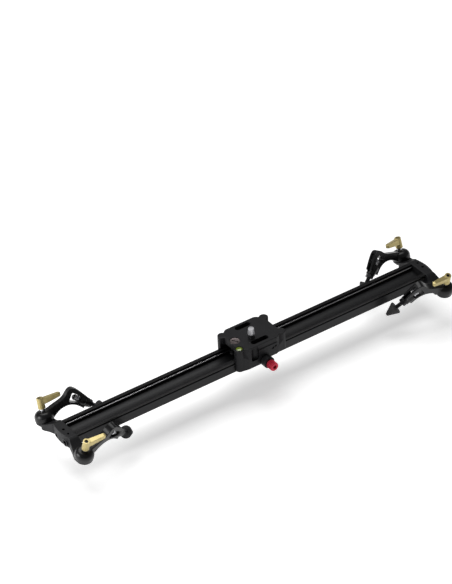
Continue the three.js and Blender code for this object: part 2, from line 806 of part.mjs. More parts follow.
function buildCarriage() {
  const carriage = new THREE.Group();
  carriage.position.x = CARRIAGE.x;
  slider.add(carriage);
  addPart(carriage, 'carriage_body', carriageBody(), 'cast');
  buildLock(carriage);
  buildRollers(carriage);
  const screw = addPart(carriage, 'camera_screw', cameraScrewGeometry(), 'steel');
  screw.position.set(CAMERA_SCREW.x, CAMERA_SCREW.y, 0);
  const { top } = CARRIAGE;
  const discBlank = cylinder(STORE_DISC.radius, top - STORE_DISC.depth + GAP, top - 0.2, 24);
  const coinSlot = box([-7, -1.1, top - 1.4], [7, 1.1, top + 1]).rotateZ(STORE_DISC.slotTurn);
  const disc = addPart(carriage, 'slotted_disc', cut(discBlank, [coinSlot]), 'steel');
  disc.position.set(STORE_DISC.x, STORE_DISC.y, 0);
  const floor = top - LEVEL.depth + GAP;
  const ringBlank = cylinder(LEVEL.ring, floor, top + 0.2, 24);
  const ring = cut(ringBlank, [cylinder(LEVEL.vial + GAP, floor - 1, top + 1, 24)]);
  addPart(carriage, 'level_ring', ring, 'cast').position.set(LEVEL.x, LEVEL.y, 0);
  const vial = turned([
    [0, floor],
    [LEVEL.vial, floor],
    [LEVEL.vial, top - 0.6],
    [LEVEL.vial * 0.7, top - 0.1],
    [0, top + 0.1],
  ]);
  addPart(carriage, 'bubble_level', vial, 'vial').position.set(LEVEL.x, LEVEL.y, 0);
}

// ---------------------------------------------------------------- assembly

buildRail();
buildBracket('right', 0);
buildBracket('left', Math.PI);
buildLeg('rear_left', -1, 1);
buildLeg('rear_right', 1, 1);
buildLeg('front_left', -1, -1);
buildLeg('front_right', 1, -1);
buildCarriage();

export default slider;
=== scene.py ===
"""Looks of the camera slider: detailed pieces, finishes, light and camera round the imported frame.

Shapes are drawn in millimetres and stored in metres. Every turned piece is drawn about its own +Z.
"""

import json
import math

import bmesh
import bpy
from mathutils import Matrix, Vector


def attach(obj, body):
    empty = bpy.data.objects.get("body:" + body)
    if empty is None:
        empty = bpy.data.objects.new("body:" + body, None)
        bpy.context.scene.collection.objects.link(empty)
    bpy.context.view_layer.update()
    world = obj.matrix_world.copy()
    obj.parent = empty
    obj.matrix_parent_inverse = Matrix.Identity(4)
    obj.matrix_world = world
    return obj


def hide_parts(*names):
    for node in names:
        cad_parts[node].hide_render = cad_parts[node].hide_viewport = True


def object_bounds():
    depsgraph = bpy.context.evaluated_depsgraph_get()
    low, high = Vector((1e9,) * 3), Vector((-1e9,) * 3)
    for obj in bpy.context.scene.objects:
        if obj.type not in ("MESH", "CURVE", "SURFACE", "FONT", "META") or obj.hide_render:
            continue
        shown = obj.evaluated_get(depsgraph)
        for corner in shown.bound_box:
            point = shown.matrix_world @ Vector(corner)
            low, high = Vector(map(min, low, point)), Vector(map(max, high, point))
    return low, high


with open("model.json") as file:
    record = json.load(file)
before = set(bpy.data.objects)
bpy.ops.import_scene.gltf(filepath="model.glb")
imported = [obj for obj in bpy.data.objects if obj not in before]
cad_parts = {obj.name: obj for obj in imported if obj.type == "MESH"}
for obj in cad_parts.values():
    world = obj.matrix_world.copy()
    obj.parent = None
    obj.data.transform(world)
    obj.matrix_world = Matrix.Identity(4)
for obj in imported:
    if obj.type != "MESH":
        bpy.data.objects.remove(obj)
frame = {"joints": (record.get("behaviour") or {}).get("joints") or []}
CAD_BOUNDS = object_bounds()

# ---------------------------------------------------------------- driving dimensions

MM = 0.001
GAP = 0.3

RAIL_LENGTH, RAIL_HALF, RAIL_HEIGHT = 755, 24.25, 22.6
RAIL_LIP = 7.25
END_BORE_DEPTH = 13
FLOOR_EDGE, FLOOR_MIDDLE = 11, 8.5
GROOVE_LOW, GROOVE_HIGH, GROOVE_DEPTH = 16.6, 19.8, 2
ROD_RADIUS, ROD_OFFSET, ROD_HEIGHT, ROD_LENGTH = 1.5, 16.5, 16.5, 753

BRACKET_INNER, BRACKET_APEX, BRACKET_ARC = 377.8, 398, 90
BRACKET_ARC_HALF, BRACKET_ARM_OUTER = 25, 396.5
SOCKET_X, SOCKET_DEPTH = 389, 12
SOCKETS = ((-1, 2.6), (14, 2.1))
END_SCREWS = ((-14, 4.6, 3.6, 2.2), (15, 7.4, 4.4, 2.6))
END_RING_RADIUS, END_RING_PROUD = 7.2, 1.4
END_HEAD_SEAT = BRACKET_APEX - 10

HUB_X, HUB_Y, HUB_Z, HUB_TILT = 389.5, 64, 9, math.radians(17)
HUB_RADIUS, HUB_SEAM, HUB_TOP = 17, -4, 12.6
STUD_RADIUS = 4
ARM_HALF = 7
SPINDLE_ALONG, SPINDLE_UP, SPINDLE_ANGLE = 57, 20, math.radians(49)
SPINDLE_RADIUS = 4
THREAD_PITCH = 1.25
LEVER_TURN = {"rear": math.radians(-20), "front": math.radians(5)}

CARRIAGE_X, CARRIAGE_TOP, CARRIAGE_BOTTOM = 6, 47.3, 3
TUNNEL_TOP, TUNNEL_HALF = 34.5, 21.5
EAR_X, EAR_Y, EAR_RADIUS = 45, 26, 8.5
SIDE_X, SIDE_Y = 31, 37
SCALLOP_PLACE = (-18.5, -38.5)
ROLLER_PLACES = ((34, 10), (-34, 10), (-34, -10), (34, -10))
CAMERA_SCREW_PLACE = (-7.4, -10.7)
SCREW_NECK_RADIUS, SCREW_HEAD_RADIUS, SCREW_CROWN_RADIUS = 4.6, 6.4, 5.3
SCREW_NECK_TOP, SCREW_TOP, SCREW_PITCH = 55.1, 67.6, 1.6
DISC_PLACE = (-36, -0.8)
DISC_SLOT_TURN = math.radians(-63)
LEVEL_PLACE = (-43.5, -24.5)
VIAL_RADIUS, BUBBLE_RADIUS = 6, 2.2
PLATE_SLOTS = ((-0.2, 26.2, 11), (0.6, -25, 12.9))
PLATE_SLOT_WIDTH = 10.5
LOCK_X, LOCK_Z = 2, 10.5
LOCK_BORE_RADIUS, LOCK_SCREW_RADIUS, COLLAR_RADIUS, KNOB_RADIUS = 3.3, 3, 11, 8.4
BLOCK_LEFT, BLOCK_RIGHT, BLOCK_BOTTOM, BLOCK_TOP, BLOCK_LOBE = -11.5, 29, 11.7, 36.5, 9
BLOCK_FACE, BLOCK_BACK = 38.2, 34.8
BLOCK_SCREWS = ((19.3, 28.4), (24.9, 30.6))
BLOCK_SCREW_SEAT = BLOCK_FACE - 2.4

LEGS = (("rear_left", -1, 1), ("rear_right", 1, 1), ("front_left", -1, -1), ("front_right", 1, -1))
SWUNG_FEET_DROP = 42.5

# ---------------------------------------------------------------- camera and light

CAMERA_PLACE = Vector((-2.3440, -3.4838, 3.2044))
CAMERA_AIM = Vector((0.00786, 0.07770, 0.09123))
CAMERA_ROLL = math.radians(-2.655)
CAMERA_LENS = 183.33
WORLD_STRENGTH = 0.16
FLOOR_REACH = 12000


def build_camera():
    camera = bpy.data.objects.new("camera", bpy.data.cameras.new("camera"))
    forward = (CAMERA_AIM - CAMERA_PLACE).normalized()
    level = forward.cross(Vector((0, 0, 1))).normalized()
    upright = level.cross(forward)
    right = level * math.cos(CAMERA_ROLL) + upright * math.sin(CAMERA_ROLL)
    up = right.cross(forward)
    turn = Matrix((right, up, -forward)).transposed().to_4x4()
    camera.matrix_world = Matrix.Translation(CAMERA_PLACE) @ turn
    camera.data.lens = CAMERA_LENS
    camera.data.sensor_width = 36
    camera.data.clip_start, camera.data.clip_end = 0.1, 60
    bpy.context.scene.collection.objects.link(camera)
    bpy.context.scene.camera = camera


def softbox(name, place, aim, size, power):
    """A rectangular area light, placed in metres, with its power in watts."""
    light = bpy.data.lights.new(name, "AREA")
    light.shape = "RECTANGLE"
    light.size, light.size_y = size
    light.energy = power
    lamp = bpy.data.objects.new(name, light)
    bpy.context.scene.collection.objects.link(lamp)
    lamp.location = place
    lamp.rotation_mode = "QUATERNION"
    lamp.rotation_quaternion = (Vector(aim) - Vector(place)).to_track_quat("-Z", "Y")


def build_studio():
    world = bpy.data.worlds.new("studio")
    world.use_nodes = True
    background = world.node_tree.nodes["Background"]
    background.inputs["Color"].default_value = (1, 1, 1, 1)
    background.inputs["Strength"].default_value = WORLD_STRENGTH
    bpy.context.scene.world = world
    bpy.context.scene.view_settings.view_transform = "Standard"
    softbox("overhead", (0.1, 0.8, 2.2), (0, 0, 0), (2.2, 1.6), 38)
    softbox("key", (-1.26, 0.2, 0.32), (-0.37, 0.06, 0.03), (0.5, 0.36), 6)
    softbox("fill", (1.2, -2.2, 0.9), (0.1, 0, 0), (1.0, 0.5), 0.4)


# ---------------------------------------------------------------- mesh helpers


def solid(points, faces):
    """An object from points in millimetres, with its faces turned to point out."""
    mesh = bpy.data.meshes.new("shape")
    shape = bmesh.new()
    corners = [shape.verts.new([value * MM for value in point]) for point in points]
    for face in faces:
        shape.faces.new([corners[index] for index in face])
    bmesh.ops.recalc_face_normals(shape, faces=shape.faces)
    shape.to_mesh(mesh)
    shape.free()
    piece = bpy.data.objects.new("shape", mesh)
    bpy.context.scene.collection.objects.link(piece)
    return piece


def lathe(profile, segments=64, shape=None):
    """A solid of revolution about +Z from (radius, z) points that start and end on the axis, or close up.

    shape(radius, z, turn) may change a point's radius, with turn from 0 to 1 round the axis.
    """
    open_ended = profile[0][0] == 0
    rings, points = [], []
    for radius, z in profile:
        if radius == 0:
            rings.append([len(points)] * segments)
            points.append((0, 0, z))
            continue
        rings.append(list(range(len(points), len(points) + segments)))
        for step in range(segments):
            turn = step / segments
            reach = shape(radius, z, turn) if shape else radius
            angle = math.tau * turn
            points.append((reach * math.cos(angle), reach * math.sin(angle), z))
    pairs = list(zip(rings, rings[1:]))
    if not open_ended:
        pairs.append((rings[-1], rings[0]))
    faces = []
    for low, high in pairs:
        for step in range(segments):
            following = (step + 1) % segments
            corners = [low[step], low[following], high[following], high[step]]
            faces.append(list(dict.fromkeys(corners)))
    return solid(points, faces)


def prism(outline, low, high):
    """An outline of (x, y) points drawn out along Z."""
    count = len(outline)
    points = [(x, y, low) for x, y in outline] + [(x, y, high) for x, y in outline]
    sides = [
        (index, (index + 1) % count, count + (index + 1) % count, count + index)
        for index in range(count)
    ]
    return solid(points, [tuple(range(count))[::-1], tuple(range(count, 2 * count)), *sides])


def block(low, high):
    (x0, y0, z0), (x1, y1, z1) = low, high
    return prism([(x0, y0), (x1, y0), (x1, y1), (x0, y1)], z0, z1)


def cylinder(radius, low, high, segments=48):
    return lathe([(0, low), (radius, low), (radius, high), (0, high)], segments)


def arc(centre, radius, start, end, steps):
    """Points along an arc, with its angles in degrees."""
    angles = [math.radians(start + (end - start) * step / steps) for step in range(steps + 1)]
    return [(centre[0] + radius * math.cos(a), centre[1] + radius * math.sin(a)) for a in angles]


def rounded(points, radius, steps=5, closed=True):
    """The same outline with each corner replaced by a curve that starts and ends `radius` from it."""
    corners = [Vector(point) for point in points]
    result = []
    for index, corner in enumerate(corners):
        if not closed and index in (0, len(corners) - 1):
            result.append(tuple(corner))
            continue
        before, after = corners[index - 1] - corner, corners[(index + 1) % len(corners)] - corner
        start = corner + before.normalized() * min(radius, before.length * 0.45)
        end = corner + after.normalized() * min(radius, after.length * 0.45)
        for step in range(steps + 1):
            t = step / steps
            result.append(tuple(start * (1 - t) ** 2 + corner * 2 * t * (1 - t) + end * t * t))
    return result


def slot_outline(x, y, half, width):
    radius = width / 2
    return arc((x + half, y), radius, -90, 90, 12) + arc((x - half, y), radius, 90, 270, 12)


def hexagon(corner_radius):
    return arc((0, 0), corner_radius, 0, 300, 5)


def turned_to(piece, matrix):
    """Moves a piece's own points, given in millimetres."""
    scale = Matrix.Scale(MM, 4)
    piece.data.transform(scale @ matrix @ scale.inverted())
    return piece


def shifted(piece, x=0, y=0, z=0):
    return turned_to(piece, Matrix.Translation((x, y, z)))


def along_x(piece):
    return turned_to(piece, Matrix.Rotation(math.pi / 2, 4, "Y"))


def along_minus_y(piece):
    return turned_to(piece, Matrix.Rotation(math.pi / 2, 4, "X"))


def bake(piece):
    """Applies a piece's modifiers."""
    graph = bpy.context.evaluated_depsgraph_get()
    mesh = bpy.data.meshes.new_from_object(piece.evaluated_get(graph))
    piece.modifiers.clear()
    piece.data = mesh
    return piece


def combine(piece, tools, operation):
    for tool in tools:
        modifier = piece.modifiers.new("tool", "BOOLEAN")
        modifier.operation = operation
        modifier.solver = "MANIFOLD"
        modifier.object = tool
    bake(piece)
    for tool in tools:
        bpy.data.objects.remove(tool)
    return piece


def joined(*pieces):
    return combine(pieces[0], pieces[1:], "UNION")


def cut(piece, *tools):
    return combine(piece, tools, "DIFFERENCE")


def overlap(piece, *tools):
    return combine(piece, tools, "INTERSECT")


def bevelled(piece, width, segments=3, angle=30):
    modifier = piece.modifiers.new("edge", "BEVEL")
    modifier.width = width * MM
    modifier.segments = segments
    modifier.limit_method = "ANGLE"
    modifier.angle_limit = math.radians(angle)
    return bake(piece)


def cast_skin(piece, voxel, passes, keep):
    """Melts a joined solid into one skin with the soft edges of a casting."""
    remesh = piece.modifiers.new("skin", "REMESH")
    remesh.mode = "VOXEL"
    remesh.voxel_size = voxel * MM
    soften = piece.modifiers.new("soften", "SMOOTH")
    soften.iterations = passes
    thin = piece.modifiers.new("thin", "DECIMATE")
    thin.ratio = keep
    return bake(piece)


def shaded(piece, angle=34):
    """Smooth shading that breaks at sharp edges and keeps flat faces flat."""
    piece.data.shade_smooth()
    piece.data.set_sharp_from_angle(angle=math.radians(angle))
    normals = piece.modifiers.new("normals", "WEIGHTED_NORMAL")
    normals.keep_sharp = True
    return bake(piece)


def mesh_of(piece):
    """The finished mesh of a working piece, ready to be shared by several pieces."""
    mesh = shaded(piece).data
    mesh.materials.clear()
    bpy.data.objects.remove(piece)
    return mesh


def add_piece(node, mesh, body, material, matrix=None, replaced=None):
    """One visible piece: it rides on its body and stands for the CAD node that it is named after."""
    piece = bpy.data.objects.new(f"{node}.detail", mesh)
    bpy.context.scene.collection.objects.link(piece)
    if not mesh.materials:
        mesh.materials.append(material)
    piece.matrix_world = matrix or Matrix.Identity(4)
    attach(piece, body)
    if replaced != ():
        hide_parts(*(replaced or (node,)))
    return piece


# ---------------------------------------------------------------- finishes


class Finish:
    """A procedural material: one Principled shader with textures in the piece's own metres."""

    def __init__(self, name, **sockets):
        self.material = bpy.data.materials.new(name)
        self.material.use_nodes = True
        self.tree = self.material.node_tree
        self.shader = self.tree.nodes["Principled BSDF"]
        for socket, value in sockets.items():
            self.shader.inputs[socket.replace("_", " ")].default_value = value

    def node(self, kind, links=None, values=None, **settings):
        made = self.tree.nodes.new(kind)
        for key, value in settings.items():
            setattr(made, key, value)
        for socket, value in (values or {}).items():
            made.inputs[socket].default_value = value
        for socket, source in (links or {}).items():
            self.tree.links.new(source, made.inputs[socket])
        return made

    def noise(self, scale, stretch=(1, 1, 1), detail=4, roughness=0.55):
        place = self.node("ShaderNodeTexCoord").outputs["Object"]
        mapped = self.node("ShaderNodeMapping", {"Vector": place}, {"Scale": stretch})
        values = {"Scale": scale, "Detail": detail, "Roughness": roughness}
        return self.node("ShaderNodeTexNoise", {"Vector": mapped.outputs[0]}, values).outputs["Fac"]

    def edges(self, radius):
        """1 on edges that are rounded by use and 0 on plain faces."""
        softened = self.node("ShaderNodeBevel", values={"Radius": radius * MM}, samples=6).outputs[0]
        true = self.node("ShaderNodeNewGeometry").outputs["Normal"]
        match = self.node("ShaderNodeVectorMath", {0: softened, 1: true}, operation="DOT_PRODUCT")
        return self.scaled(match.outputs["Value"], 0.9, 0.995, 1, 0)

    def scaled(self, source, low, high, to_low, to_high):
        values = {"From Min": low, "From Max": high, "To Min": to_low, "To Max": to_high}
        return self.node("ShaderNodeMapRange", {"Value": source}, values).outputs[0]

    def product(self, first, second):
        return self.node("ShaderNodeMath", {0: first, 1: second}, operation="MULTIPLY").outputs[0]

    def colour(self, factor, low, high):
        """A colour between two others by a texture."""
        ramp = self.node("ShaderNodeValToRGB", {"Fac": factor})
        ramp.color_ramp.elements[0].position, ramp.color_ramp.elements[1].position = 0.3, 0.7
        ramp.color_ramp.elements[0].color = (*low, 1)
        ramp.color_ramp.elements[1].color = (*high, 1)
        return ramp.outputs["Color"]

    def worn(self, factor, base, bare):
        """A base colour that gives way to a bare one by a factor."""
        mix = self.node("ShaderNodeMixRGB", {"Fac": factor, "Color1": base}, {"Color2": (*bare, 1)})
        return mix.outputs["Color"]

    def bump(self, height, distance, strength=1.0):
        values = {"Distance": distance * MM, "Strength": strength}
        bumped = self.node("ShaderNodeBump", {"Height": height}, values)
        self.feed("Normal", bumped.outputs[0])

    def feed(self, socket, source):
        self.tree.links.new(source, self.shader.inputs[socket])


def black_anodised():
    """Extruded bar, dyed black: fine drawn lines along X, and edges rubbed a little grey."""
    finish = Finish("black_anodised", Metallic=0.25, Specular_IOR_Level=0.35)
    drawn = finish.noise(900, (0.015, 1, 1), 5)
    grain = finish.noise(2600)
    cloud = finish.noise(14, (0.4, 1, 1), 2)
    rubbed = finish.product(finish.edges(0.3), finish.scaled(grain, 0.35, 0.7, 0.1, 0.5))
    base = finish.colour(cloud, (0.0042, 0.0042, 0.0050), (0.0070, 0.0070, 0.0080))
    finish.feed("Base Color", finish.worn(rubbed, base, (0.09, 0.09, 0.095)))
    finish.feed("Roughness", finish.scaled(drawn, 0.3, 0.7, 0.33, 0.45))
    finish.bump(drawn, 0.006)
    return finish.material


def black_casting():
    """Bead-blasted and anodised casting: a fine even grain, with edges rubbed a little grey."""
    finish = Finish("black_casting", Metallic=0.15, Specular_IOR_Level=0.22)
    grain = finish.noise(2400, detail=3)
    pits = finish.noise(700, detail=5)
    cloud = finish.noise(22, detail=2)
    rubbed = finish.product(finish.edges(0.45), finish.scaled(pits, 0.4, 0.7, 0.05, 0.45))
    base = finish.colour(cloud, (0.0085, 0.0085, 0.0098), (0.0130, 0.0130, 0.0146))
    finish.feed("Base Color", finish.worn(rubbed, base, (0.10, 0.10, 0.105)))
    finish.feed("Roughness", finish.scaled(pits, 0.3, 0.7, 0.42, 0.55))
    finish.bump(grain, 0.02)
    return finish.material


def black_satin():
    """The legs' smoother black: a soft gloss over shallow casting ripples."""
    finish = Finish("black_satin", Metallic=0.1, Specular_IOR_Level=0.36)
    ripple = finish.noise(420, detail=4)
    grain = finish.noise(2600, detail=3)
    cloud = finish.noise(30, detail=2)
    rubbed = finish.product(finish.edges(0.4), finish.scaled(ripple, 0.4, 0.7, 0.05, 0.5))
    base = finish.colour(cloud, (0.0038, 0.0038, 0.0045), (0.0072, 0.0072, 0.0080))
    finish.feed("Base Color", finish.worn(rubbed, base, (0.09, 0.09, 0.095)))
    finish.feed("Roughness", finish.scaled(grain, 0.3, 0.7, 0.27, 0.37))
    finish.bump(ripple, 0.02)
    return finish.material


def turned_steel(name, dark, light, low, high, metallic=1.0):
    """Steel turned on a lathe: fine rings round the piece's own +Z."""
    finish = Finish(name, Metallic=metallic)
    rings = finish.noise(2600, (0.04, 0.04, 1), 3)
    stain = finish.noise(240, detail=4)
    finish.feed("Base Color", finish.colour(stain, dark, light))
    finish.feed("Roughness", finish.scaled(rings, 0.3, 0.7, low, high))
    finish.bump(rings, 0.004)
    return finish.material


def ground_rod():
    """Ground steel bar: an even polish with faint marks along its length."""
    finish = Finish("ground_rod", Metallic=1.0)
    marks = finish.noise(1500, (1, 1, 0.01), 3)
    finish.feed("Base Color", finish.colour(marks, (0.42, 0.42, 0.43), (0.52, 0.52, 0.53)))
    finish.feed("Roughness", finish.scaled(marks, 0.3, 0.7, 0.20, 0.25))
    return finish.material


def black_oxide():
    """Blackened steel screws and nuts, thin on their edges."""
    finish = Finish("black_oxide", Metallic=0.7)
    mottle = finish.noise(900, detail=4)
    rubbed = finish.product(finish.edges(0.2), finish.scaled(mottle, 0.4, 0.65, 0.1, 0.7))
    base = finish.colour(mottle, (0.010, 0.010, 0.011), (0.024, 0.024, 0.027))
    finish.feed("Base Color", finish.worn(rubbed, base, (0.16, 0.16, 0.165)))
    finish.feed("Roughness", finish.scaled(mottle, 0.3, 0.7, 0.30, 0.46))
    finish.bump(mottle, 0.008)
    return finish.material


def champagne_anodised():
    """Blasted levers, anodised pale gold."""
    finish = Finish("champagne_anodised", Metallic=0.6, Specular_IOR_Level=0.5)
    grain = finish.noise(2200, detail=3)
    cloud = finish.noise(60, detail=3)
    rubbed = finish.product(finish.edges(0.3), finish.scaled(grain, 0.35, 0.65, 0.1, 0.6))
    base = finish.colour(cloud, (0.44, 0.36, 0.145), (0.56, 0.465, 0.21))
    finish.feed("Base Color", finish.worn(rubbed, base, (0.72, 0.66, 0.45)))
    finish.feed("Roughness", finish.scaled(grain, 0.3, 0.7, 0.28, 0.40))
    finish.bump(grain, 0.008)
    return finish.material


def red_anodised():
    """The knob's bright red anodising over turned metal."""
    finish = Finish("red_anodised", Metallic=0.55, Specular_IOR_Level=0.6)
    rings = finish.noise(1800, (0.05, 0.05, 1), 3)
    cloud = finish.noise(120, detail=3)
    rubbed = finish.product(finish.edges(0.25), finish.scaled(cloud, 0.35, 0.7, 0.1, 0.5))
    base = finish.colour(cloud, (0.42, 0.010, 0.034), (0.54, 0.020, 0.055))
    finish.feed("Base Color", finish.worn(rubbed, base, (0.80, 0.22, 0.28)))
    finish.feed("Roughness", finish.scaled(rings, 0.3, 0.7, 0.27, 0.40))
    finish.bump(rings, 0.006)
    return finish.material


def moulded_rubber():
    """Matt black rubber with a fine skin and a little dust."""
    finish = Finish("moulded_rubber", Specular_IOR_Level=0.3)
    skin = finish.noise(1500, detail=5)
    dust = finish.noise(160, detail=4)
    finish.feed("Base Color", finish.colour(dust, (0.015, 0.015, 0.016), (0.030, 0.030, 0.031)))
    finish.feed("Roughness", finish.scaled(skin, 0.3, 0.7, 0.62, 0.80))
    finish.bump(skin, 0.03)
    return finish.material


def white_nylon():
    finish = Finish("white_nylon", Subsurface_Weight=0.1)
    marks = finish.noise(700, (1, 1, 0.2), 4)
    finish.feed("Base Color", finish.colour(marks, (0.66, 0.65, 0.60), (0.78, 0.77, 0.72)))
    finish.feed("Roughness", finish.scaled(marks, 0.3, 0.7, 0.45, 0.60))
    finish.bump(marks, 0.02)
    return finish.material


def green_vial(name, dark, light):
    """Tinted liquid under a clear polished lens."""
    finish = Finish(name, Transmission_Weight=0.2, IOR=1.49, Coat_Weight=0.6, Coat_Roughness=0.04)
    drift = finish.noise(130, detail=2)
    finish.feed("Base Color", finish.colour(drift, dark, light))
    finish.feed("Roughness", finish.scaled(drift, 0.3, 0.7, 0.08, 0.16))
    finish.bump(drift, 0.01)
    return finish.material


def studio_floor():
    finish = Finish("studio_paper", Specular_IOR_Level=0.1, Emission_Strength=0.5)
    finish.shader.inputs["Emission Color"].default_value = (1, 1, 1, 1)
    fibre = finish.noise(900, detail=4)
    finish.feed("Base Color", finish.colour(fibre, (0.90, 0.90, 0.90), (0.93, 0.93, 0.93)))
    finish.feed("Roughness", finish.scaled(fibre, 0.3, 0.7, 0.85, 0.95))
    return finish.material


ANODISED = black_anodised()
CASTING = black_casting()
SATIN = black_satin()
STEEL = turned_steel("turned_steel", (0.50, 0.50, 0.52), (0.66, 0.66, 0.68), 0.16, 0.30)
AGED_STEEL = turned_steel("aged_steel", (0.105, 0.085, 0.085), (0.20, 0.17, 0.168), 0.24, 0.40)
PLATED_STEEL = turned_steel("plated_steel", (0.46, 0.46, 0.48), (0.60, 0.60, 0.62), 0.26, 0.38, 0.55)
ROD_STEEL = ground_rod()
OXIDE = black_oxide()
GOLD = champagne_anodised()
RED = red_anodised()
RUBBER = moulded_rubber()
NYLON = white_nylon()
VIAL = green_vial("level_liquid", (0.13, 0.20, 0.006), (0.21, 0.29, 0.012))
BUBBLE = green_vial("level_bubble", (0.50, 0.62, 0.22), (0.62, 0.74, 0.34))

# ---------------------------------------------------------------- shared shapes


def thread(pitch, depth, low, high):
    """A right-hand screw thread for lathe(), tapered where it starts and ends."""

    def shape(radius, z, turn):
        if not low <= z <= high:
            return radius
        ridge = abs(2 * ((z / pitch - turn) % 1) - 1)
        ease = min(1, (z - low) / pitch, (high - z) / pitch)
        return radius - depth * (ridge * ease + 1 - ease)

    return shape


def heights(low, high, pitch, steps=8):
    count = math.ceil((high - low) / pitch * steps)
    return [low + (high - low) * index / count for index in range(count + 1)]


def fluted(flutes, depth, low, high):
    """Grip flutes for lathe(), between two heights."""

    def shape(radius, z, turn):
        if not low < z < high:
            return radius
        return radius - depth / 2 * (1 - math.cos(math.tau * flutes * turn))

    return shape


def socket_screw(shank, head, tip, seat, top):
    """A socket-head screw about +Z with a chamfered head and a threaded shank."""
    edge = head * 0.12
    threads = [(shank, z) for z in heights(tip, seat - 0.5, 0.7, 6)]
    profile = [
        (0, tip), *threads, (shank, seat), (head - edge / 2, seat), (head, seat + edge / 2),
        (head, top - edge), (head - edge, top), (0, top),
    ]
    screw = lathe(profile, 36, thread(0.7, 0.3, tip, seat - 0.5))
    flare = lathe([(0, top - 0.3), (head * 0.5, top - 0.3), (head * 0.66, top + 0.3), (0, top + 0.3)], 36)
    return cut(screw, prism(hexagon(head * 0.55), (seat + top) / 2 - 0.2, top + 1), flare)


# ---------------------------------------------------------------- rail


def rail_outline():
    """The rail's section as (y, z) points, from the back half and its mirror image."""
    inner = RAIL_HALF - RAIL_LIP
    outside = rounded(
        [
            (RAIL_HALF - 3, 0), (RAIL_HALF, 0), (RAIL_HALF, GROOVE_LOW),
            (RAIL_HALF - GROOVE_DEPTH, GROOVE_LOW + 0.7), (RAIL_HALF - GROOVE_DEPTH, GROOVE_HIGH - 0.7),
            (RAIL_HALF, GROOVE_HIGH), (RAIL_HALF, RAIL_HEIGHT), (RAIL_HALF - 1.6, RAIL_HEIGHT),
        ],
        0.6, 3, closed=False,
    )[1:]
    grooves = []
    for offset in (2, 4.6):
        left, floor = RAIL_HALF - offset, RAIL_HEIGHT - 0.6
        grooves += [(left, RAIL_HEIGHT), (left - 0.15, floor), (left - 0.85, floor), (left - 1, RAIL_HEIGHT)]
    seat_radius = ROD_RADIUS + GAP
    opening = math.degrees(math.acos((inner - ROD_OFFSET) / seat_radius))
    seat = arc((ROD_OFFSET, ROD_HEIGHT), seat_radius, opening, -opening, 12)
    rise = FLOOR_EDGE - FLOOR_MIDDLE
    sweep = (inner * inner + rise * rise) / (2 * rise)
    floor = [
        (y, FLOOR_MIDDLE + sweep - math.sqrt(sweep * sweep - y * y))
        for y in (inner * (1 - step / 14) for step in range(14))
    ]
    lip = [(inner + 0.5, RAIL_HEIGHT), (inner, RAIL_HEIGHT - 0.5)]
    back = [*outside, *grooves, *lip, *seat, *floor]
    front = [(-y, z) for y, z in back][::-1]
    return [*back, (0, FLOOR_MIDDLE), *front]


def section_along_x(outline, start, end):
    """Draws (y, z) points out along X."""
    axes = Matrix(((0, 0, 1, 0), (1, 0, 0, 0), (0, 1, 0, 0), (0, 0, 0, 1)))
    return turned_to(prism(outline, start, end), axes)


def screw_bores(clearance, start, end):
    return [
        shifted(along_x(cylinder(shank + clearance, start, end, 24)), 0, y, z)
        for y, z, _, shank in END_SCREWS
    ]


def half_turn(piece):
    return turned_to(piece, Matrix.Rotation(math.pi, 4, "Z"))


def build_rail():
    half = RAIL_LENGTH / 2
    depths = (half - END_BORE_DEPTH, half + 1)
    bores = screw_bores(GAP, *depths)
    far_bores = [half_turn(bore) for bore in screw_bores(GAP, *depths)]
    bar = cut(section_along_x(rail_outline(), -half, half), *bores, *far_bores)
    add_piece("rail", mesh_of(bar), "base", ANODISED)
    tip = ROD_LENGTH / 2
    chamfer = 0.3
    rod = lathe([
        (0, -tip), (ROD_RADIUS - chamfer, -tip), (ROD_RADIUS, chamfer - tip), (ROD_RADIUS, tip - chamfer),
        (ROD_RADIUS - chamfer, tip), (0, tip),
    ], 32)
    mesh = mesh_of(rod)
    for side, name in ((1, "guide_rod_rear"), (-1, "guide_rod_front")):
        place = Matrix.Translation((0, side * ROD_OFFSET * MM, ROD_HEIGHT * MM))
        lying = place @ Matrix.Rotation(math.pi / 2, 4, "Y")
        add_piece(name, mesh, "base", ROD_STEEL, lying)


# ---------------------------------------------------------------- end brackets


def at_hub(piece, side):
    """Moves a piece drawn about a leg's hinge axis to the right-hand end, rear (1) or front (-1)."""
    place = Matrix.Translation((HUB_X, side * HUB_Y, HUB_Z))
    return turned_to(piece, place @ Matrix.Rotation(-side * HUB_TILT, 4, "X"))


def bracket_block():
    centre = BRACKET_APEX - BRACKET_ARC
    spread = math.degrees(math.asin(BRACKET_ARC_HALF / BRACKET_ARC))
    plan = arc((centre, 0), BRACKET_ARC, -spread, spread, 24)
    inner = [(BRACKET_INNER, BRACKET_ARC_HALF), (BRACKET_INNER, -BRACKET_ARC_HALF)]
    return prism([*inner, *plan], 0, RAIL_HEIGHT)


def bracket_arm(side):
    start = BRACKET_ARC_HALF - 3
    section = [
        (start, 0), (start, RAIL_HEIGHT), (BRACKET_ARC_HALF + 2, RAIL_HEIGHT - 0.6), (36, 15.5),
        (46, 9.4), (62, 4.5), (57, -5.5), (46, -4.5), (34, -1),
    ]
    plan = [
        (BRACKET_INNER, start), (BRACKET_ARM_OUTER - 2, start), (BRACKET_ARM_OUTER + 2.5, 40),
        (BRACKET_ARM_OUTER + 7.5, 56), (HUB_X, 60), (HUB_X - 14.5, 56), (BRACKET_INNER - 1, 44),
        (BRACKET_INNER, 34),
    ]
    section = [(side * y, z) for y, z in rounded(section, 5)]
    plan = [(x, side * y) for x, y in rounded(plan, 6)]
    return overlap(section_along_x(section, BRACKET_INNER - 30, BRACKET_APEX + 30), prism(plan, -30, 30))


def hub_boss():
    return lathe([(0, -13), (12, -13), (16.4, -7.5), (16.4, -4.3), (0, -4.3)], 72)


